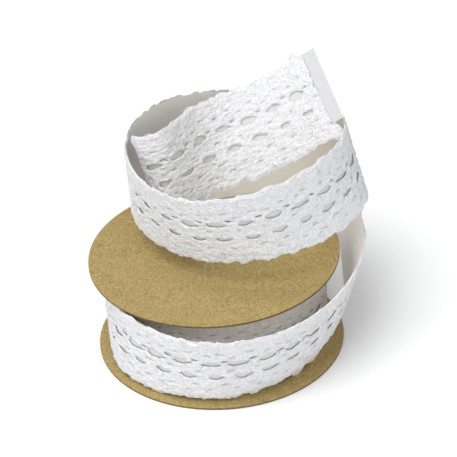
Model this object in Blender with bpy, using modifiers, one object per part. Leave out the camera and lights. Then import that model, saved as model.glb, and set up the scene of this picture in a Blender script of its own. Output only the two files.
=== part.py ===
"""Roll of lace trim: a kraft-board spool wound with lace tape, its free end risen in loose turns above it.

Metres, +Z up. The origin is the middle of the lower flange's underside. The tape runs counter-clockwise
seen from above, with its lace face outward and its backing inward.
"""
import math

import bmesh
import bpy
import numpy as np
from mathutils import Matrix, Vector

for old in list(bpy.data.objects):
    bpy.data.objects.remove(old, do_unlink=True)

MM = 0.001

# ---- driving dimensions (millimetres and degrees) ----
FLANGE_RADIUS = 35.0
FLANGE_THICK = 0.8
FLANGE_EDGE_ROUND = 0.12
FLANGE_SEGMENTS = 128
TOP_FLANGE_FACE = 28.57          # height of the upper flange's upper face at its middle
TOP_FLANGE_SHIFT = (-0.9, 0.2)   # pressed on slightly off the middle
TOP_FLANGE_RISE_X = 0.8          # degrees that it rises towards +X
TOP_FLANGE_RISE_Y = 1.6          # degrees that it rises towards +Y

TAPE_WIDTH = 25.0
TAPE_THICK = 1.2
GAP = 0.3                        # room between neighbouring pieces

ROLL_RADIUS = 29.6               # outer radius just past the step where the free end starts
ROLL_PITCH = TAPE_THICK + GAP    # growth of the winding in one turn
ROLL_STEP_ANGLE = 177.0          # direction of that step
ROLL_SEGMENTS = 144
ROLL_TOP_GAP = 0.4

TAB_LENGTH = 3.4                 # bare backing past the cut end of the lace
TAB_WIDTH = 20.7
TAB_SIDE = 1.9                   # its middle is this far from the tape's middle, towards the upper edge
TAB_THICK = 1.0

# Sections of the free end, from the roll to the cut end. across, deep and height place the tape's middle line;
# lean is how many degrees its upper edge leans towards the lace side.
MID = FLANGE_THICK + 0.4 + TAPE_WIDTH / 2    # the tape's middle while it stands between the flanges
SECTIONS = (
    # name                       across    deep  height  lean
    ("on the roll, left",         -31.5,    1.0,    MID,    0),
    ("on the roll, front left",   -27.0,  -19.5,    MID,    4),
    ("loosening, front left",      -9.0,  -34.0,    MID,   15),
    ("loosening, front",           10.0,  -34.0,   14.0,   19),
    ("loosening, front right",     26.0,  -24.0,   16.0,   20),
    ("riser, foot",                37.0,   -6.0,   20.0,   16),
    ("riser, middle",              38.0,   14.0,   25.0,    7),
    ("riser, head",                33.0,   33.0,   33.0,   -3),
    ("first turn, back",           14.0,   43.0,   42.0,  -11),
    ("first turn, back left",      -8.0,   35.0,   49.0,  -14),
    ("first turn, left",          -21.5,   16.0,   50.0,   -5),
    ("second turn, left front",   -20.0,   -4.0,   48.0,    9),
    ("second turn, front left",    -6.0,  -20.0,   48.0,   20),
    ("second turn, front",         14.0,  -24.0,   51.0,   12),
    ("second turn, front right",   33.0,  -13.0,   54.0,   -4),
    ("second turn, right",         38.5,    4.0,   54.5,  -15),
    ("second turn, back right",    31.0,   21.0,   49.0,   -2),
    ("second turn, back",          15.0,   28.0,   43.5,   10),
    ("inner turn, back left",      -4.0,   23.5,   43.5,   12),
    ("inner turn, left back",     -15.0,   12.0,   46.0,    5),
    ("inner turn, left",          -17.5,   -1.0,   53.0,    8),
    ("flap, bend",                -11.0,   -6.0,   58.0,   -5),
    ("flap, left",                 -2.0,    1.0,   60.0,  -20),
    ("flap, middle",                9.0,    5.0,   62.0,  -31),
    ("flap, right",                20.0,    5.0,   67.0,  -35),
    ("flap, cut end",              29.5,    3.0,   73.5,  -35),
)
STEPS_PER_SECTION = 8
STEPS_ACROSS = 6


# ---- helpers ----
def material(name, rgb, roughness, metallic=0.0):
    m = bpy.data.materials.new(name)
    m.use_nodes = True
    bsdf = m.node_tree.nodes["Principled BSDF"]
    bsdf.inputs["Base Color"].default_value = (*rgb, 1.0)
    bsdf.inputs["Roughness"].default_value = roughness
    bsdf.inputs["Metallic"].default_value = metallic
    m.diffuse_color = (*rgb, 1.0)
    return m


collection = bpy.data.collections.new("roll_of_lace_trim")
bpy.context.scene.collection.children.link(collection)


def add_object(name, mesh, mat):
    obj = bpy.data.objects.new(name, mesh)
    obj.data.materials.append(mat)
    collection.objects.link(obj)
    return obj


def natural_spline(values):
    """Second derivatives of the natural cubic spline through values at 0, 1, 2, ..."""
    n = len(values)
    a = np.eye(n)
    rhs = np.zeros_like(values)
    for i in range(1, n - 1):
        a[i, i - 1:i + 2] = (1.0, 4.0, 1.0)
        rhs[i] = 6.0 * (values[i - 1] - 2.0 * values[i] + values[i + 1])
    return np.linalg.solve(a, rhs)


def spline_at(values, curve, t):
    """Value and slope of that spline at t. Past the last section it runs on along its end slope."""
    last = len(values) - 1
    i = min(int(t), last - 1)
    f = min(t, last) - i
    g = 1.0 - f
    value = (g * values[i] + f * values[i + 1]
             + ((g ** 3 - g) * curve[i] + (f ** 3 - f) * curve[i + 1]) / 6.0)
    slope = (values[i + 1] - values[i]
             + ((1.0 - 3.0 * g * g) * curve[i] + (3.0 * f * f - 1.0) * curve[i + 1]) / 6.0)
    return value + slope * max(t - last, 0.0), slope


TABLE = np.array([row[1:] for row in SECTIONS], dtype=float)
CURVE = natural_spline(TABLE)


def tape_frame(t):
    """Middle point, direction across the tape towards its upper edge, and speed along it, at section t."""
    value, slope = spline_at(TABLE, CURVE, t)
    along = Vector(slope[:3])
    speed = along.length
    along.normalize()
    upright = (Vector((0, 0, 1)) - along.z * along).normalized()
    outward = along.cross(upright)
    lean = math.radians(value[3])
    return Vector(value[:3]), math.cos(lean) * upright + math.sin(lean) * outward, speed


def tape_surface(name, stations, width, side):
    """Open strip through the stations, width wide, its middle shifted by side towards the upper edge."""
    bm = bmesh.new()
    rows = []
    for t in stations:
        middle, across, _ = tape_frame(t)
        row = []
        for j in range(STEPS_ACROSS + 1):
            w = side + width * (j / STEPS_ACROSS - 0.5)
            row.append(bm.verts.new((middle + across * w) * MM))
        rows.append(row)
    for a, b in zip(rows, rows[1:]):
        for j in range(STEPS_ACROSS):
            f = bm.faces.new((a[j], b[j], b[j + 1], a[j + 1]))
            f.smooth = True
    mesh = bpy.data.meshes.new(name)
    bm.to_mesh(mesh)
    bm.free()
    return mesh


def thicken(obj, thick):
    mod = obj.modifiers.new("thickness", "SOLIDIFY")
    mod.thickness = thick * MM
    mod.offset = 0.0
    mod.use_even_offset = True
    mod.use_rim = True


# ---- finishes ----
kraft = material("kraft_board", (0.46, 0.35, 0.16), 0.9)
lace = material("cotton_lace", (0.87, 0.87, 0.88), 0.95)
wound = material("wound_lace", (0.82, 0.82, 0.82), 0.95)
backing = material("smooth_backing", (0.62, 0.60, 0.56), 0.45)


# ---- spool flanges ----
def flange(name):
    bpy.ops.mesh.primitive_cylinder_add(vertices=FLANGE_SEGMENTS, radius=FLANGE_RADIUS * MM,
                                        depth=FLANGE_THICK * MM)
    obj = bpy.context.object
    obj.name = name
    obj.data.name = name
    for c in list(obj.users_collection):
        c.objects.unlink(obj)
    collection.objects.link(obj)
    obj.data.materials.append(kraft)
    rounding = obj.modifiers.new("edge", "BEVEL")
    rounding.width = FLANGE_EDGE_ROUND * MM
    rounding.segments = 1
    rounding.limit_method = "ANGLE"
    rounding.angle_limit = math.radians(60)
    return obj


bottom = flange("flange_bottom")
bottom.location = (0, 0, FLANGE_THICK / 2 * MM)

top = flange("flange_top")
top_tilt = (Matrix.Rotation(math.radians(TOP_FLANGE_RISE_Y), 4, "X")
            @ Matrix.Rotation(math.radians(-TOP_FLANGE_RISE_X), 4, "Y"))
top.rotation_euler = top_tilt.to_euler()
top.location = (TOP_FLANGE_SHIFT[0] * MM, TOP_FLANGE_SHIFT[1] * MM, (TOP_FLANGE_FACE - FLANGE_THICK / 2) * MM)

# ---- wound turns: a spiral outline with one step where the free end starts ----
roll_bottom = FLANGE_THICK + GAP


def roll_top(x, y):
    """Height just under the upper flange, which the winding's upper side follows."""
    rise = (math.tan(math.radians(TOP_FLANGE_RISE_X)) * (x - TOP_FLANGE_SHIFT[0])
            + math.tan(math.radians(TOP_FLANGE_RISE_Y)) * (y - TOP_FLANGE_SHIFT[1]))
    return TOP_FLANGE_FACE - FLANGE_THICK - ROLL_TOP_GAP + rise


bm = bmesh.new()
outline = []
for i in range(ROLL_SEGMENTS + 1):
    turn = i / ROLL_SEGMENTS
    angle = math.radians(ROLL_STEP_ANGLE + 360.0 * turn)
    r = ROLL_RADIUS + ROLL_PITCH * turn
    outline.append(bm.verts.new((r * math.cos(angle) * MM, r * math.sin(angle) * MM, roll_bottom * MM)))
face = bm.faces.new(outline)
raised = bmesh.ops.extrude_face_region(bm, geom=[face])
for v in raised["geom"]:
    if isinstance(v, bmesh.types.BMVert):
        v.co.z = roll_top(v.co.x / MM, v.co.y / MM) * MM
bmesh.ops.recalc_face_normals(bm, faces=bm.faces)
roll_mesh = bpy.data.meshes.new("wound_roll")
bm.to_mesh(roll_mesh)
bm.free()
add_object("wound_roll", roll_mesh, wound)

# ---- free end: one sheet on the sections ----
last_section = len(SECTIONS) - 1
stations = [k / STEPS_PER_SECTION for k in range(last_section * STEPS_PER_SECTION + 1)]
free_end = add_object("loose_end", tape_surface("loose_end", stations, TAPE_WIDTH, 0.0), lace)
thicken(free_end, TAPE_THICK)

# ---- bare backing past the cut end, running on in the same line ----
_, _, end_speed = tape_frame(last_section)
tab_stations = [last_section + (GAP + TAB_LENGTH * k / 4) / end_speed for k in range(5)]
tab = add_object("liner_tab", tape_surface("liner_tab", tab_stations, TAB_WIDTH, TAB_SIDE), backing)
thicken(tab, TAB_THICK)
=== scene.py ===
"""Looks of the roll of lace trim: knitted lace on a thin backing, wound on a kraft-board spool."""
import math

import bpy
import numpy as np
from mathutils import Matrix, Vector


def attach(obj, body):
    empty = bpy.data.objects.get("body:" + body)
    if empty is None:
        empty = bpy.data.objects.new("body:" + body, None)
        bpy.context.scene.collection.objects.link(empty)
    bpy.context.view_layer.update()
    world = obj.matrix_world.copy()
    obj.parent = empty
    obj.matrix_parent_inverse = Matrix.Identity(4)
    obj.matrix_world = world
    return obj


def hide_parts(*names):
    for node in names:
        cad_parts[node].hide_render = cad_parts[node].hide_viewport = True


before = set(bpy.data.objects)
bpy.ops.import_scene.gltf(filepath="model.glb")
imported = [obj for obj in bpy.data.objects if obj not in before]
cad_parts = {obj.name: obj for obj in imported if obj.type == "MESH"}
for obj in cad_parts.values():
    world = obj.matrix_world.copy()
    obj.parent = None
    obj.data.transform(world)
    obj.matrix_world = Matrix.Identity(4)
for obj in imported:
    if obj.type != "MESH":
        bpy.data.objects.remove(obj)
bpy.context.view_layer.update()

MM = 0.001

# ---------------------------------------------------------------- sizes (millimetres, degrees)
TAPE_WIDTH = 25.0
MID = 13.7                       # the tape's middle while it stands between the flanges
ROLL_RADIUS = 29.6               # outer radius of the winding just past the step
ROLL_PITCH = 1.5
ROLL_STEP_ANGLE = 177.0
FLANGE_THICK = 0.8
FLANGE_TOP = 28.57
TAB_LENGTH = 3.4
LINER_LOW, LINER_HIGH = -11.8, 11.9    # the backing's two edges across the tape
TAB_LOW, TAB_HIGH = -8.45, 12.25       # and of its bare end past the cut
LINER_THICK = 0.12

# Sections of the free end, from the roll to the cut end: the tape's middle line, and how many degrees its upper
# edge leans towards the lace side.
SECTIONS = (
    # name                       across    deep  height  lean
    ("on the roll, left",         -31.5,    1.0,    MID,    0),
    ("on the roll, front left",   -27.0,  -19.5,    MID,    4),
    ("loosening, front left",      -9.0,  -34.0,    MID,   15),
    ("loosening, front",           10.0,  -34.0,   14.0,   19),
    ("loosening, front right",     26.0,  -24.0,   16.0,   20),
    ("riser, foot",                37.0,   -6.0,   20.0,   16),
    ("riser, middle",              38.0,   14.0,   25.0,    7),
    ("riser, head",                33.0,   33.0,   33.0,   -3),
    ("first turn, back",           14.0,   43.0,   42.0,  -11),
    ("first turn, back left",      -8.0,   35.0,   49.0,  -14),
    ("first turn, left",          -21.5,   16.0,   50.0,   -5),
    ("second turn, left front",   -20.0,   -4.0,   48.0,    9),
    ("second turn, front left",    -6.0,  -20.0,   48.0,   20),
    ("second turn, front",         14.0,  -24.0,   51.0,   12),
    ("second turn, front right",   33.0,  -13.0,   54.0,   -4),
    ("second turn, right",         38.5,    4.0,   54.5,  -15),
    ("second turn, back right",    31.0,   21.0,   49.0,   -2),
    ("second turn, back",          15.0,   28.0,   43.5,   10),
    ("inner turn, back left",      -4.0,   23.5,   43.5,   12),
    ("inner turn, left back",     -15.0,   12.0,   46.0,    5),
    ("inner turn, left",          -17.5,   -1.0,   53.0,    8),
    ("flap, bend",                -11.0,   -6.0,   58.0,   -5),
    ("flap, left",                 -2.0,    1.0,   60.0,  -20),
    ("flap, middle",                9.0,    5.0,   62.0,  -31),
    ("flap, right",                20.0,    5.0,   67.0,  -35),
    ("flap, cut end",              29.5,    3.0,   73.5,  -35),
)

REPEAT = 7.55                    # length of the lace's repeat
FIRST_REPEAT = 28.0              # where one of them starts, along the free end
# Rows of holes: place across the tape, half length, half height, place in the repeat, how much the hole's middle
# line curves, and whether it is cut through.
HOLE_ROWS = (
    # name             across  half_long  half_high  place  curve  open
    ("large, upper",      2.9,      2.45,      1.10,  0.00, -0.020, True),
    ("large, lower",     -2.9,      2.20,      0.88,  0.15,  0.050, True),
    ("link",              4.2,      0.90,      0.38,  0.47,  0.000, True),
    ("slit, top",         7.2,      0.90,      0.26,  0.30,  0.000, False),
    ("slit, high",        6.0,      0.80,      0.26,  0.80,  0.000, False),
    ("slit, middle",      0.1,      0.80,      0.30,  0.62,  0.000, False),
    ("slit, low",        -6.2,      1.10,      0.30,  0.40,  0.000, False),
    ("slit, lowest",     -8.4,      0.90,      0.26,  0.90,  0.000, False),
)
STRAND = 0.93                    # spacing of the yarn courses across the tape
STITCH = 1.18                    # spacing of the stitches along it
STEP_LONG, STEP_WIDE = 0.43, 0.285


# ---------------------------------------------------------------- tape path
def natural_spline(values):
    n = len(values)
    a = np.eye(n)
    rhs = np.zeros_like(values)
    for i in range(1, n - 1):
        a[i, i - 1:i + 2] = (1.0, 4.0, 1.0)
        rhs[i] = 6.0 * (values[i - 1] - 2.0 * values[i] + values[i + 1])
    return np.linalg.solve(a, rhs)


TABLE = np.array([row[1:] for row in SECTIONS], dtype=float)
CURVE = natural_spline(TABLE)
LAST = len(TABLE) - 1


def table_at(t):
    """Values and slopes of the sections' spline at every t. Past the last section it runs on along its end slope."""
    t = np.asarray(t, float)
    i = np.clip(t.astype(int), 0, LAST - 1)
    f = (np.minimum(t, LAST) - i)[:, None]
    g = 1.0 - f
    value = g * TABLE[i] + f * TABLE[i + 1] + ((g ** 3 - g) * CURVE[i] + (f ** 3 - f) * CURVE[i + 1]) / 6.0
    slope = TABLE[i + 1] - TABLE[i] + ((1 - 3 * g * g) * CURVE[i] + (3 * f * f - 1) * CURVE[i + 1]) / 6.0
    return value + slope * np.maximum(t - LAST, 0.0)[:, None], slope


def unit(v):
    return v / np.linalg.norm(v, axis=1, keepdims=True)


def frames(middle, along, lean):
    along = unit(along)
    up = np.array([0.0, 0.0, 1.0])
    upright = unit(up - (along @ up)[:, None] * along)
    outward = np.cross(along, upright)
    a = np.radians(lean)[:, None]
    across = np.cos(a) * upright + np.sin(a) * outward
    return middle, across, np.cross(along, across)


_t = np.linspace(0, LAST + 0.6, 6001)
_v, _ = table_at(_t)
_s = np.concatenate([[0.0], np.cumsum(np.linalg.norm(np.diff(_v[:, :3], axis=0), axis=1))])
FREE_LENGTH = float(np.interp(LAST, _t, _s))


def free_frames(s):
    """Frames of the free end at the lengths s along it."""
    value, slope = table_at(np.interp(s, _s, _t))
    return frames(value[:, :3], slope[:, :3], value[:, 3])


_turn = np.linspace(0.0, 1.0, 1441)


def wound_radius(turn):
    """Middle of the tape in the winding's last turn, easing outward to where the free end starts."""
    ease = np.clip((turn - 0.86) / 0.14, 0, 1)
    return ROLL_RADIUS - 0.6 + ROLL_PITCH * turn + 1.0 * ease * ease * (3 - 2 * ease)


_wa = np.radians(ROLL_STEP_ANGLE + 1.2 + 360.0 * _turn)
_wxy = np.stack([wound_radius(_turn) * np.cos(_wa), wound_radius(_turn) * np.sin(_wa), np.full_like(_wa, MID)], 1)
_ws = np.concatenate([[0.0], np.cumsum(np.linalg.norm(np.diff(_wxy, axis=0), axis=1))])
WOUND_LENGTH = float(_ws[-1])


def wound_frames(s):
    """Frames of the winding's last turn at the lengths s, which end at 0 where the free end starts."""
    q = s + WOUND_LENGTH
    middle = np.stack([np.interp(q, _ws, _wxy[:, k]) for k in range(3)], 1)
    ahead = np.stack([np.interp(q + 0.4, _ws, _wxy[:, k]) - np.interp(q - 0.4, _ws, _wxy[:, k]) for k in range(3)], 1)
    return frames(middle, ahead, np.zeros(len(s)))


# ---------------------------------------------------------------- unevenness
def lattice(seed, rows=256, cols=1024):
    return np.random.default_rng(seed).random((rows, cols))


def value_noise(table, x, y):
    """Smooth noise from 0 to 1 on a repeating lattice."""
    rows, cols = table.shape
    xi, yi = np.floor(x).astype(int), np.floor(y).astype(int)
    fx, fy = x - xi, y - yi
    fx, fy = fx * fx * (3 - 2 * fx), fy * fy * (3 - 2 * fy)
    a = table[yi % rows, xi % cols]
    b = table[yi % rows, (xi + 1) % cols]
    c = table[(yi + 1) % rows, xi % cols]
    d = table[(yi + 1) % rows, (xi + 1) % cols]
    return (a * (1 - fx) + b * fx) * (1 - fy) + (c * (1 - fx) + d * fx) * fy


N_FLUFF, N_BLOB, N_SLIT, N_EDGE, N_WAVE = (lattice(k) for k in (11, 12, 13, 14, 15))


def smooth(x, a, b):
    f = np.clip((x - a) / (b - a), 0, 1)
    return f * f * (3 - 2 * f)


# ---------------------------------------------------------------- lace
HOLE_COUNT = 110
HOLE_FIRST = -34


def repeats_before(s):
    return (s - FIRST_REPEAT) / REPEAT


def hole_table():
    """Every hole of every row, each a little different from the next, wider open where the tape is drawn tight."""
    rng = np.random.default_rng(7)
    rows = []
    for _, across, long, high, place, curve, is_open in HOLE_ROWS:
        k = np.arange(HOLE_COUNT) + HOLE_FIRST
        at = FIRST_REPEAT + REPEAT * (k + place)
        pull = 1.0 + 0.30 * smooth(-at, -150.0, -95.0) * smooth(at, -20.0, 10.0) - 0.14 * smooth(at, 385.0, 410.0)
        rows.append(dict(
            s=at + rng.normal(0, 0.15 if is_open else 0.5, HOLE_COUNT),
            v=across + rng.normal(0, 0.15 if is_open else 0.35, HOLE_COUNT),
            long=long * (0.4 + 0.6 * pull) * rng.uniform(0.78, 1.14, HOLE_COUNT),
            high=high * pull * rng.uniform(0.72, 1.18, HOLE_COUNT),
            skew=rng.normal(0.0, 0.10, HOLE_COUNT),
            lop=rng.uniform(-0.05, 0.45, HOLE_COUNT),
            curve=curve + rng.normal(0, 0.012, HOLE_COUNT),
            open=is_open and True))
    return rows


HOLES = hole_table()


def hole_field(row, s, v):
    """How far (s, v) lies outside the nearest hole of the row: 0 on its outline, negative inside; and its place."""
    best = np.full(s.shape, 99.0)
    dx, dy, hx = np.zeros_like(s), np.full(s.shape, 99.0), np.zeros_like(s)
    base = np.round(repeats_before(s)).astype(int) - HOLE_FIRST
    for step in (-1, 0, 1):
        k = np.clip(base + step, 0, HOLE_COUNT - 1)
        x = (s - row["s"][k]) / row["long"][k]
        y0 = v - row["v"][k] - row["curve"][k] * (s - row["s"][k]) ** 2 - row["skew"][k] * x
        high = row["high"][k] * (1.0 - row["lop"][k] * x) * np.where(y0 < 0, 0.80, 1.12)
        y = y0 / np.maximum(high, 0.05)
        f = np.abs(x) ** 1.9 + np.abs(y) ** 1.5 - 1.0
        f = f + 0.55 * (value_noise(N_FLUFF, s / 0.95 + 200, v / 0.70) - 0.5)
        nearer = f < best
        best = np.where(nearer, f, best)
        dx, dy = np.where(nearer, x, dx), np.where(nearer, y0, dy)
        hx = np.where(nearer, np.maximum(high, 0.05), hx)
    return best, dx, dy, hx


def edge_line(s, side):
    """The lace's scalloped edge at the lengths s: +1 the upper edge, -1 the lower."""
    seed = 3.0 if side > 0 else 57.0
    scallop = 0.22 * np.cos(2 * math.pi * (repeats_before(s) + (0.0 if side > 0 else 0.4)))
    bumps = 0.75 * (value_noise(N_EDGE, s / 2.4, np.full_like(s, seed)) - 0.5)
    loops = 0.45 * (value_noise(N_EDGE, s / 1.0, np.full_like(s, seed + 5)) - 0.5)
    drift = 0.3 * (value_noise(N_EDGE, s / 9.0, np.full_like(s, seed + 9)) - 0.5)
    teeth = np.mod(s / 4.9 + 0.7 * value_noise(N_EDGE, s / 12.0, np.full_like(s, seed + 20)), 1.0)
    line = TAPE_WIDTH / 2 - 0.15 + scallop + bumps + loops + drift + 0.5 * (0.5 - teeth)
    if side > 0:                   # the cut end's corners spread a little, and the bends ease the knit outward
        line = line + 2.0 * np.exp(-((s - (FREE_LENGTH - 2.2)) / 1.7) ** 2) + 0.5 * np.exp(-((s - 278.0) / 22.0) ** 2)
    else:
        line = line + 1.9 * np.exp(-((s - FREE_LENGTH) / 2.4) ** 2) + 0.8 * np.exp(-((s - 368.0) / 26.0) ** 2)
    return side * line


def lace_height(s, v, low, high):
    """The lace's thickness over the backing, in millimetres, and the painted shade of its slots, pin-holes, slits,
    hole rims and thin places.
    """
    v_eff = v.copy()
    big = []
    for row in HOLES:
        field, dx, dy, hx = hole_field(row, s, v)
        big.append((field, row))
        if row["open"]:
            reach = hx * np.clip(1 - (np.abs(dx) / 1.35) ** 2, 0, 1)
            beyond = np.maximum(np.abs(dy) - reach, 0)
            v_eff = v_eff - np.sign(dy) * reach * np.exp(-beyond / 1.15)
    wander = 1.8 * (value_noise(N_WAVE, s / 4.0, v / 3.0) - 0.5) + 0.5 * (value_noise(N_BLOB, s / 1.4, v / 1.5) - 0.5)
    q = (v_eff + wander) / STRAND
    course = np.floor(q)
    f = q - course
    ridge = 1.0 - (2.0 * f - 1.0) ** 2
    stitch = 0.5 + 0.5 * np.cos(2 * math.pi * (s / STITCH + 0.5 * (course % 2) + 1.6 * value_noise(N_WAVE, s / 2.3, course * 1.7)))
    fluff = value_noise(N_FLUFF, s / 0.66, v / 0.50) - 0.5
    tuft = value_noise(N_BLOB, s / 1.35, v / 0.85 + 31) - 0.5
    blob = value_noise(N_BLOB, s / 3.4, v / 2.2) - 0.5
    h = 0.42 + 0.06 * ridge + 0.08 * stitch * ridge + 0.40 * fluff + 0.20 * tuft + 0.10 * blob
    slot = smooth(value_noise(N_SLIT, s / 1.4, course * 1.0 + 0.5), 0.66, 0.90) * (1 - ridge) ** 0.6
    pit = smooth(value_noise(N_SLIT, s / 0.8 + 70, v / 0.55), 0.78, 0.97)
    h = h - 0.20 * slot - 0.12 * pit
    # Painted shade: the slots between the yarn courses and the pin-holes are darkened for the shade that falls in
    # them.
    dark = np.maximum(0.42 * slot, 0.32 * pit)
    least = np.full(s.shape, 9.0)
    for field, row in big:
        if row["open"]:
            h = h * (0.35 + 0.65 * smooth(field, -0.05, 0.45)) + 0.14 * np.exp(-((field - 0.75) / 0.40) ** 2)
            # painted shade along the open holes' rims
            dark = np.maximum(dark, 0.12 * (1 - smooth(field, 0.0, 0.22)))
            least = np.minimum(least, field)
        else:
            h = h - 0.34 * (1 - smooth(field, -0.35, 0.55))
            # painted shade in the slits, which are not cut through
            dark = np.maximum(dark, 0.66 * (1.0 - smooth(field, -0.30, 0.60)))
    rim = np.minimum(high - v, v - low)
    h = h * (0.62 + 0.38 * smooth(rim, -0.05, 0.90)) + 0.06 * np.exp(-((rim - 0.9) / 0.5) ** 2)
    # painted shade where the lace is thin, none at its edges
    dark = np.clip(dark + 0.5 * np.clip(0.20 - h, 0, 0.3), 0, 1) * smooth(rim, 0.1, 0.8)
    return np.clip(h, 0.02, 1.25), dark


def open_field(s, v):
    least = np.full(s.shape, 9.0)
    for row in HOLES:
        if row["open"]:
            least = np.minimum(least, hole_field(row, s, v)[0])
    return least


def make_mesh(name, verts, faces, smooth_shade=True):
    mesh = bpy.data.meshes.new(name)
    mesh.vertices.add(len(verts))
    mesh.vertices.foreach_set("co", np.asarray(verts, np.float32).ravel())
    faces = np.asarray(faces, np.int32)
    n = faces.shape[1]
    mesh.loops.add(faces.size)
    mesh.loops.foreach_set("vertex_index", faces.ravel())
    mesh.polygons.add(len(faces))
    mesh.polygons.foreach_set("loop_start", np.arange(0, faces.size, n, dtype=np.int32))
    mesh.polygons.foreach_set("use_smooth", np.full(len(faces), smooth_shade))
    mesh.update(calc_edges=True)
    mesh.validate()
    obj = bpy.data.objects.new(name, mesh)
    bpy.context.scene.collection.objects.link(obj)
    return obj


def grid_faces(rows, cols):
    i, j = np.meshgrid(np.arange(rows - 1), np.arange(cols - 1), indexing="ij")
    a = i * cols + j
    return np.stack([a, a + cols, a + cols + 1, a + 1], -1).reshape(-1, 4)


# The last argument scales the painted shade in the lace's recesses.
def lace_strip(name, start, end, place, step_long=STEP_LONG, step_wide=STEP_WIDE, painted_shade_depth=1.0):
    """Lace from start to end along the tape, set on the frames that place gives."""
    rows = int(round((end - start) / step_long)) + 1
    cols = int(round(TAPE_WIDTH / step_wide)) + 1
    s_line = np.linspace(start, end, rows)
    low, high = edge_line(s_line, -1), edge_line(s_line, +1)
    w = np.linspace(0, 1, cols)
    s = np.repeat(s_line[:, None], cols, 1)
    v = low[:, None] + (high - low)[:, None] * w[None, :]
    past = 1.0
    if end > FREE_LENGTH - 1:      # the cut end isn't quite straight, and frays a little
        fray = 0.35 * (value_noise(N_EDGE, v / 0.9, np.full_like(v, 91.0)) - 0.5)
        corner = 2.3 * smooth(-v, 6.0, 11.5)
        s = s + (fray + corner) * smooth(s, end - 5.0, end)
        past = 3.0
    faces = grid_faces(rows, cols)
    centre_s = s.ravel()[faces].mean(1)
    centre_v = v.ravel()[faces].mean(1)
    keep = open_field(centre_s, centre_v) > 0
    near_edge = (faces[:, 0] % cols < 2) | (faces[:, 0] % cols > cols - 4)
    keep |= near_edge
    kept = faces[keep]
    # vertices on a hole's rim go onto its outline
    used_kept = np.zeros(rows * cols, bool)
    used_kept[kept.ravel()] = True
    used_cut = np.zeros(rows * cols, bool)
    used_cut[faces[~keep].ravel()] = True
    rim = np.nonzero(used_kept & used_cut)[0]
    sf, vf = s.ravel().copy(), v.ravel().copy()
    for _ in range(3):
        e = 0.02
        f0 = open_field(sf[rim], vf[rim])
        fs = (open_field(sf[rim] + e, vf[rim]) - f0) / e
        fv = (open_field(sf[rim], vf[rim] + e) - f0) / e
        g2 = fs * fs + fv * fv + 0.05
        ds, dv = -f0 * fs / g2, -f0 * fv / g2
        sf[rim] += np.clip(ds, -0.16, 0.16)
        vf[rim] += np.clip(dv, -0.12, 0.12)
    low_all, high_all = np.repeat(low, cols), np.repeat(high, cols)
    h, dark = lace_height(sf, vf, low_all, high_all)
    middle, across, outward = place(np.clip(sf, start - 1, end + past))
    pos = middle + across * vf[:, None] + outward * (0.02 + h)[:, None]
    index = np.full(rows * cols, -1)
    index[used_kept] = np.arange(used_kept.sum())
    verts, quads, count = [pos[used_kept]], [index[kept]], int(used_kept.sum())
    for col, inward in ((0, 1.0), (cols - 1, -1.0)):     # the edge's thickness and its inner side
        k = np.arange(rows) * cols + col
        foot = middle[k] + across[k] * vf[k][:, None] + outward[k] * 0.03
        inner = middle[k] + across[k] * (vf[k] + 1.5 * inward)[:, None] - outward[k] * 0.01
        for a, b in ((pos[k], foot), (foot, inner)):
            verts += [a, b]
            i = count + np.arange(rows - 1)
            quads.append(np.stack([i, i + 1, i + 1 + rows, i + rows], -1))
            count += 2 * rows
    if end > FREE_LENGTH - 1:      # the cut end's thickness
        k = (rows - 1) * cols + np.arange(cols)
        verts += [pos[k], middle[k] + across[k] * vf[k][:, None] + outward[k] * 0.03]
        i = count + np.arange(cols - 1)
        quads.append(np.stack([i, i + 1, i + 1 + cols, i + cols], -1))
        count += 2 * cols
    obj = make_mesh(name, np.concatenate(verts) * MM, np.concatenate(quads))
    # The painted shade of the lace's recesses, carried to the material as a point attribute.
    shade = np.zeros(count, np.float32)
    shade[:used_kept.sum()] = np.clip(dark[used_kept] * painted_shade_depth, 0, 1)
    obj.data.attributes.new("painted_recess_shade", "FLOAT", "POINT").data.foreach_set("value", shade)
    # How far into the winding each point lies, which blends in the painted bounce light of the lace material.
    painted_bounce_blend = np.zeros(count, np.float32)
    painted_bounce_blend[:used_kept.sum()] = smooth(-sf[used_kept], 8.0, 75.0)
    obj.data.attributes.new("painted_bounce_blend", "FLOAT", "POINT").data.foreach_set("value", painted_bounce_blend)
    return obj


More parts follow.
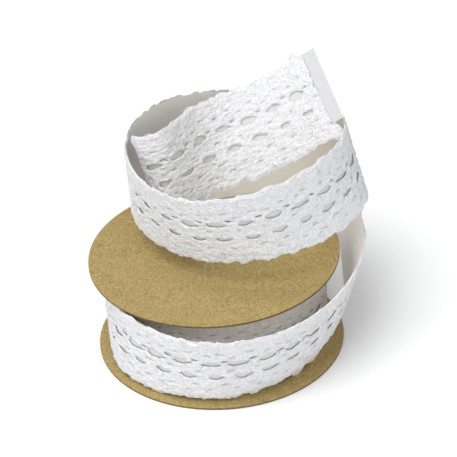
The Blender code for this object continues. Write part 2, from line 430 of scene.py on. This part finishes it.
def liner_strip(name, start, end, place, steps_wide=8, step_long=1.0, offset=-0.02, rng_seed=5):
    """Thin backing: a closed sheet with its own front and back faces."""
    rows = int(round((end - start) / step_long)) + 1
    s_line = np.linspace(start, end, rows)
    cols = steps_wide + 1
    w = np.linspace(0, 1, cols)
    s = np.repeat(s_line[:, None], cols, 1)
    bare = smooth(s_line, FREE_LENGTH - 2.0, FREE_LENGTH - 0.8)[:, None]
    low = LINER_LOW + (TAB_LOW - LINER_LOW) * bare
    high = LINER_HIGH + (TAB_HIGH - LINER_HIGH) * bare
    v = low + (high - low) * w[None, :]
    middle, across, outward = place(s.ravel())
    wave = 0.06 * (value_noise(N_BLOB, s.ravel() / 11.0, v.ravel() / 9.0 + 40 + rng_seed) - 1.0)
    front = middle + across * v.ravel()[:, None] + outward * (offset + wave)[:, None]
    back = front - outward * LINER_THICK
    n = rows * cols
    faces_front = grid_faces(rows, cols)
    faces_back = faces_front[:, ::-1] + n
    ring = np.concatenate([np.arange(cols), (np.arange(1, rows) * cols) + cols - 1,
                           (rows - 1) * cols + np.arange(cols - 2, -1, -1), np.arange(rows - 2, 0, -1) * cols])
    nxt = np.roll(ring, -1)
    faces_rim = np.stack([nxt, ring, ring + n, nxt + n], -1)[:, ::-1]
    obj = make_mesh(name, np.concatenate([front, back]) * MM, np.concatenate([faces_front, faces_back, faces_rim]))
    # Slot 0 is the backing under the lace, darkened as painted shade; slot 1, its back and rim, brightened as painted
    # light; slot 2 the bare tab.
    obj.data.materials.append(LINER_FRONT_PAINTED_SHADE)
    obj.data.materials.append(LINER_BACK_PAINTED_LIGHT)
    obj.data.materials.append(LINER_BARE)
    index = np.zeros(len(obj.data.polygons), np.int32)
    index[len(faces_front):] = 1
    index[:len(faces_front)][s.ravel()[faces_front].mean(1) > FREE_LENGTH - 0.5] = 2
    obj.data.polygons.foreach_set("material_index", index)
    sharp = obj.data.attributes.new("sharp_edge", "BOOLEAN", "EDGE")
    ends = np.zeros((len(obj.data.edges), 2), np.int32).ravel()
    obj.data.edges.foreach_get("vertices", ends)
    ends = ends.reshape(-1, 2)
    on_ring = np.zeros(2 * n, bool)
    on_ring[ring] = on_ring[ring + n] = True
    sharp.data.foreach_set("value", on_ring[ends[:, 0]] & on_ring[ends[:, 1]])
    return obj


# ---------------------------------------------------------------- materials
def node_material(name, rough):
    m = bpy.data.materials.new(name)
    m.use_nodes = True
    nt = m.node_tree
    return m, nt, nt.nodes["Principled BSDF"], rough


def noise_node(nt, scale, detail=3.0, rough=0.55, stretch=None, seed_w=0.0):
    coords = nt.nodes.new("ShaderNodeTexCoord")
    mapping = nt.nodes.new("ShaderNodeMapping")
    mapping.inputs["Scale"].default_value = stretch or (1, 1, 1)
    mapping.inputs["Location"].default_value = (seed_w, seed_w * 0.7, seed_w * 1.3)
    nt.links.new(coords.outputs["Object"], mapping.inputs["Vector"])
    noise = nt.nodes.new("ShaderNodeTexNoise")
    noise.inputs["Scale"].default_value = scale
    noise.inputs["Detail"].default_value = detail
    noise.inputs["Roughness"].default_value = rough
    nt.links.new(mapping.outputs["Vector"], noise.inputs["Vector"])
    return noise


def ramp_node(nt, source, stops):
    ramp = nt.nodes.new("ShaderNodeValToRGB")
    while len(ramp.color_ramp.elements) < len(stops):
        ramp.color_ramp.elements.new(0.5)
    for e, (p, c) in zip(ramp.color_ramp.elements, stops):
        e.position = p
        e.color = (*c, 1.0)
    nt.links.new(source, ramp.inputs["Fac"])
    return ramp


def multiply(nt, a, b, amount=1.0):
    mix = nt.nodes.new("ShaderNodeMix")
    mix.data_type = "RGBA"
    mix.blend_type = "MULTIPLY"
    mix.inputs["Factor"].default_value = amount
    nt.links.new(a, mix.inputs["A"])
    nt.links.new(b, mix.inputs["B"])
    return mix.outputs["Result"]


def bump(nt, bsdf, source, distance, strength=1.0, base=None):
    b = nt.nodes.new("ShaderNodeBump")
    b.inputs["Distance"].default_value = distance
    b.inputs["Strength"].default_value = strength
    nt.links.new(source, b.inputs["Height"])
    if base is not None:
        nt.links.new(base, b.inputs["Normal"])
    nt.links.new(b.outputs["Normal"], bsdf.inputs["Normal"])
    return b.outputs["Normal"]


def lace_material(name, light, dark, painted_bounce_tint=(1, 1, 1)):
    """Knitted lace. Where the mesh's blend attribute is 1 it takes the given warm colour, painted light bounced off
    the kraft flanges into the winding's shade.
    """
    m, nt, bsdf, _ = node_material(name, 0.95)
    yarn = noise_node(nt, 1850, 3, 0.62)
    patch = noise_node(nt, 170, 2, 0.5, seed_w=0.3)
    painted_bounce_blend = nt.nodes.new("ShaderNodeAttribute")
    painted_bounce_blend.attribute_name = "painted_bounce_blend"
    t = ramp_node(nt, painted_bounce_blend.outputs["Fac"], ((0.0, (1, 1, 1)), (1.0, painted_bounce_tint)))
    a = ramp_node(nt, yarn.outputs["Fac"], ((0.36, dark), (0.55, light)))
    b = ramp_node(nt, patch.outputs["Fac"], ((0.30, (0.965, 0.965, 0.96)), (0.70, (1, 1, 1))))
    # Painted shade: the colour darkens towards grey-beige where the recess shade attribute is high.
    painted_recess_shade = nt.nodes.new("ShaderNodeAttribute")
    painted_recess_shade.attribute_name = "painted_recess_shade"
    g = ramp_node(nt, painted_recess_shade.outputs["Fac"], ((0.10, (1, 1, 1)), (0.95, (0.60, 0.595, 0.575))))
    c = multiply(nt, a.outputs["Color"], b.outputs["Color"])
    c = multiply(nt, c, t.outputs["Color"])
    nt.links.new(multiply(nt, c, g.outputs["Color"]), bsdf.inputs["Base Color"])
    bsdf.inputs["Roughness"].default_value = 0.95
    bsdf.inputs["Sheen Weight"].default_value = 0.12
    bsdf.inputs["Sheen Roughness"].default_value = 0.6
    bsdf.inputs["Specular IOR Level"].default_value = 0.15
    fuzz = noise_node(nt, 3600, 2, 0.6, seed_w=0.9)
    first = bump(nt, bsdf, yarn.outputs["Fac"], 0.00040, 0.9)
    bump(nt, bsdf, fuzz.outputs["Fac"], 0.00014, 0.8, base=first)
    return m


def kraft_material(name, tone=1.0):
    m, nt, bsdf, _ = node_material(name, 0.9)
    grain = noise_node(nt, 2100, 3, 0.7)
    mottle = noise_node(nt, 320, 3, 0.6, seed_w=0.5)
    fibre_a = noise_node(nt, 1500, 2, 0.5, stretch=(1.0, 0.35, 1.0), seed_w=0.2)
    fibre_b = noise_node(nt, 1400, 2, 0.5, stretch=(0.35, 1.0, 1.0), seed_w=1.7)
    fleck = noise_node(nt, 900, 1, 0.4, seed_w=2.6)
    base = ramp_node(nt, grain.outputs["Fac"], ((0.34, (0.305 * tone, 0.216 * tone, 0.076 * tone)),
                                                (0.50, (0.425 * tone, 0.315 * tone, 0.124 * tone)),
                                                (0.66, (0.570 * tone, 0.440 * tone, 0.200 * tone))))
    m1 = ramp_node(nt, mottle.outputs["Fac"], ((0.30, (0.95, 0.945, 0.93)), (0.70, (1.03, 1.03, 1.03))))
    m2 = ramp_node(nt, fibre_a.outputs["Fac"], ((0.32, (0.88, 0.87, 0.84)), (0.50, (1, 1, 1))))
    m3 = ramp_node(nt, fibre_b.outputs["Fac"], ((0.32, (0.90, 0.89, 0.86)), (0.50, (1, 1, 1))))
    m4 = ramp_node(nt, fleck.outputs["Fac"], ((0.20, (0.62, 0.57, 0.50)), (0.30, (1, 1, 1))))
    c = multiply(nt, base.outputs["Color"], m1.outputs["Color"])
    c = multiply(nt, c, m2.outputs["Color"])
    c = multiply(nt, c, m3.outputs["Color"])
    c = multiply(nt, c, m4.outputs["Color"])
    nt.links.new(c, bsdf.inputs["Base Color"])
    bsdf.inputs["Roughness"].default_value = 0.88
    bsdf.inputs["Specular IOR Level"].default_value = 0.25
    bump(nt, bsdf, grain.outputs["Fac"], 0.00006, 0.6)
    return m


def liner_material(name, light, dark, rough):
    m, nt, bsdf, _ = node_material(name, rough)
    cloud = noise_node(nt, 90, 3, 0.55)
    fine = noise_node(nt, 1100, 2, 0.5, seed_w=0.4)
    a = ramp_node(nt, cloud.outputs["Fac"], ((0.30, dark), (0.70, light)))
    b = ramp_node(nt, fine.outputs["Fac"], ((0.30, (0.97, 0.97, 0.965)), (0.70, (1, 1, 1))))
    nt.links.new(multiply(nt, a.outputs["Color"], b.outputs["Color"]), bsdf.inputs["Base Color"])
    bsdf.inputs["Roughness"].default_value = rough
    bsdf.inputs["Specular IOR Level"].default_value = 0.4
    bump(nt, bsdf, cloud.outputs["Fac"], 0.00015, 0.4)
    return m


LACE = lace_material("cotton_lace", (0.83, 0.83, 0.845), (0.68, 0.68, 0.695))
# A brighter, warmer copy of the lace: painted light for the light that the kraft flanges bounce into the shade of the
# winding.
WOUND_LACE_PAINTED_BOUNCE = lace_material("wound_lace", (0.92, 0.92, 0.93), (0.78, 0.78, 0.79), painted_bounce_tint=(1.0, 0.955, 0.90))
KRAFT = kraft_material("kraft_board", 0.90)
# The flanges' sides take a much darker kraft: painted shade for the sides that face away from the light.
KRAFT_SIDE_PAINTED_SHADE = kraft_material("kraft_side_painted_shade", 0.40)
LINER_BARE = liner_material("liner_bare", (0.62, 0.62, 0.635), (0.59, 0.59, 0.605), 0.45)
# The backing as seen through the lace's holes, greyer and more greenish than white paper: painted shade under the
# lace.
LINER_FRONT_PAINTED_SHADE = liner_material("liner_under_lace_painted_shade", (0.66, 0.665, 0.63), (0.62, 0.625, 0.59), 0.5)
# The backing's back side, warm and nearly white: painted light for the light that shines through the thin backing and
# the lace into the loop.
LINER_BACK_PAINTED_LIGHT = liner_material("liner_back_painted_light", (0.96, 0.94, 0.91), (0.92, 0.90, 0.865), 0.5)

# ---------------------------------------------------------------- camera
ELEVATION, DISTANCE = math.radians(35.59), 450.0
PAN, TILT, ROLL = math.radians(0.47), math.radians(-3.85), math.radians(3.31)


def turn_about(axis, a):
    c, s = math.cos(a), math.sin(a)
    return np.array({"x": [[1, 0, 0], [0, c, -s], [0, s, c]],
                     "y": [[c, 0, s], [0, 1, 0], [-s, 0, c]],
                     "z": [[c, -s, 0], [s, c, 0], [0, 0, 1]]}[axis], float)


eye = np.array([0.0, -DISTANCE * math.cos(ELEVATION), DISTANCE * math.sin(ELEVATION)])
forward = -eye / np.linalg.norm(eye)
right = np.array([1.0, 0.0, 0.0])
view = turn_about("z", ROLL) @ turn_about("x", TILT) @ turn_about("y", PAN) @ np.stack([right, np.cross(right, forward), -forward])
camera_data = bpy.data.cameras.new("camera")
camera_data.sensor_width = 36.0
camera_data.lens = 1560.4 / 457.0 * 36.0
camera_data.clip_start = 0.01
camera_data.clip_end = 20.0
camera = bpy.data.objects.new("camera", camera_data)
bpy.context.scene.collection.objects.link(camera)
camera.matrix_world = Matrix.Translation(eye * MM) @ Matrix(view.T.tolist()).to_4x4()
bpy.context.scene.camera = camera

# ---------------------------------------------------------------- lace and backing of the free end
lace = lace_strip("lace_free_end", 0.0, FREE_LENGTH, free_frames)
lace.data.materials.append(LACE)
liner = liner_strip("liner_free_end", 0.0, FREE_LENGTH + 0.3 + TAB_LENGTH, free_frames)

# ---------------------------------------------------------------- the winding
# The winding's lace, in the shade of the top flange, gets 1.7 times the painted recess shade.
wound_lace = lace_strip("lace_wound", -WOUND_LENGTH + 0.2, 0.0, wound_frames, 0.5, 0.34, painted_shade_depth=1.7)
wound_lace.data.materials.append(WOUND_LACE_PAINTED_BOUNCE)


def wound_body():
    """The turns under the last one: a spiral of tape edges above and below, closed round the outside."""
    steps, turns, per = 180, 12, 4
    angle = np.radians(ROLL_STEP_ANGLE + 360.0 * np.arange(steps + 1) / steps)
    turn = np.arange(steps + 1) / steps
    cols = turns * per + 1
    k = np.arange(cols)
    profile = np.where(k % per == 0, -0.55, np.where(k % per == 2, 0.0, -0.12))
    radius = (ROLL_RADIUS - 1.25 + ROLL_PITCH * turn)[:, None] - (ROLL_PITCH / per) * k[None, :]
    rough = 0.5 * (value_noise(N_FLUFF, np.repeat(np.arange(steps + 1)[:, None], cols, 1) / 1.5, k[None, :] / 2.0 + np.zeros((steps + 1, 1))) - 0.5)
    half = TAPE_WIDTH / 2 - 0.5
    x, y = radius * np.cos(angle)[:, None], radius * np.sin(angle)[:, None]
    top = np.stack([x, y, MID + half + profile[None, :] + rough], -1).reshape(-1, 3)
    low = np.stack([x, y, MID - half - profile[None, :] - rough * 0.4], -1).reshape(-1, 3)
    n = len(top)
    ft = grid_faces(steps + 1, cols)
    ring = np.arange(steps + 1) * cols
    side = np.stack([ring[:-1], ring[:-1] + n, ring[1:] + n, ring[1:]], -1)
    inner = ring + cols - 1
    inside = np.stack([inner[1:], inner[1:] + n, inner[:-1] + n, inner[:-1]], -1)
    first, last = np.arange(cols), steps * cols + np.arange(cols)
    seam_a = np.stack([first[1:], first[1:] + n, first[:-1] + n, first[:-1]], -1)
    seam_b = np.stack([last[:-1], last[:-1] + n, last[1:] + n, last[1:]], -1)
    faces = np.concatenate([ft[:, ::-1], ft + n, side[:, ::-1], inside[:, ::-1], seam_a[:, ::-1], seam_b[:, ::-1]])
    return make_mesh("wound_turns", np.concatenate([top, low]) * MM, faces)


turns = wound_body()
# The turns under the last one take the same brightened lace: painted light in the shade between the flanges.
turns.data.materials.append(WOUND_LACE_PAINTED_BOUNCE)
wound_liner = liner_strip("liner_wound", -WOUND_LENGTH + 0.2, -0.1, wound_frames, offset=-0.05, rng_seed=8)

# ---------------------------------------------------------------- spool flanges
for node in ("flange_bottom", "flange_top"):
    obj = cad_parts[node]
    obj.data.materials.clear()
    obj.data.materials.append(KRAFT)
    obj.data.materials.append(KRAFT_SIDE_PAINTED_SHADE)
    # The darker kraft goes on the disc's side as painted shade.
    for face in obj.data.polygons:       # the disc's side, but not its flats or their rounded rims
        face.material_index = 1 if abs((obj.matrix_world.to_3x3() @ face.normal).z) < 0.4 else 0

# ---------------------------------------------------------------- what rides and what it replaces
for piece in (lace, liner, wound_lace, turns, wound_liner):
    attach(piece, "root")
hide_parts("loose_end")
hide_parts("liner_tab")
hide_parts("wound_roll")

# ---------------------------------------------------------------- floor and light
bpy.ops.mesh.primitive_plane_add(size=8.0, location=(0, 0, 0))
floor = bpy.context.object
floor.name = "floor"
fm, fnt, fb, _ = node_material("floor_white", 0.9)
fb.inputs["Base Color"].default_value = (0.93, 0.93, 0.93, 1)
fb.inputs["Roughness"].default_value = 0.9
fb.inputs["Specular IOR Level"].default_value = 0.0
floor.data.materials.append(fm)

world = bpy.data.worlds.new("studio")
world.use_nodes = True
world.node_tree.nodes["Background"].inputs["Color"].default_value = (0.97, 0.985, 1.0, 1)
world.node_tree.nodes["Background"].inputs["Strength"].default_value = 0.42
bpy.context.scene.world = world


def sun(name, towards, strength, angle, colour=(1, 1, 1)):
    data = bpy.data.lights.new(name, "SUN")
    data.energy = strength
    data.angle = math.radians(angle)
    data.color = colour
    obj = bpy.data.objects.new(name, data)
    d = np.array(towards, float)
    d /= np.linalg.norm(d)
    obj.rotation_euler = Vector(d).to_track_quat("-Z", "Y").to_euler()
    bpy.context.scene.collection.objects.link(obj)
    return obj


sun("key", (0.36, 0.28, -0.89), 2.15, 44)
sun("fill", (-0.10, 0.83, -0.55), 1.00, 60)
bpy.context.scene.view_settings.view_transform = "Standard"
bpy.context.scene.view_settings.look = "None"

bpy.context.view_layer.update()
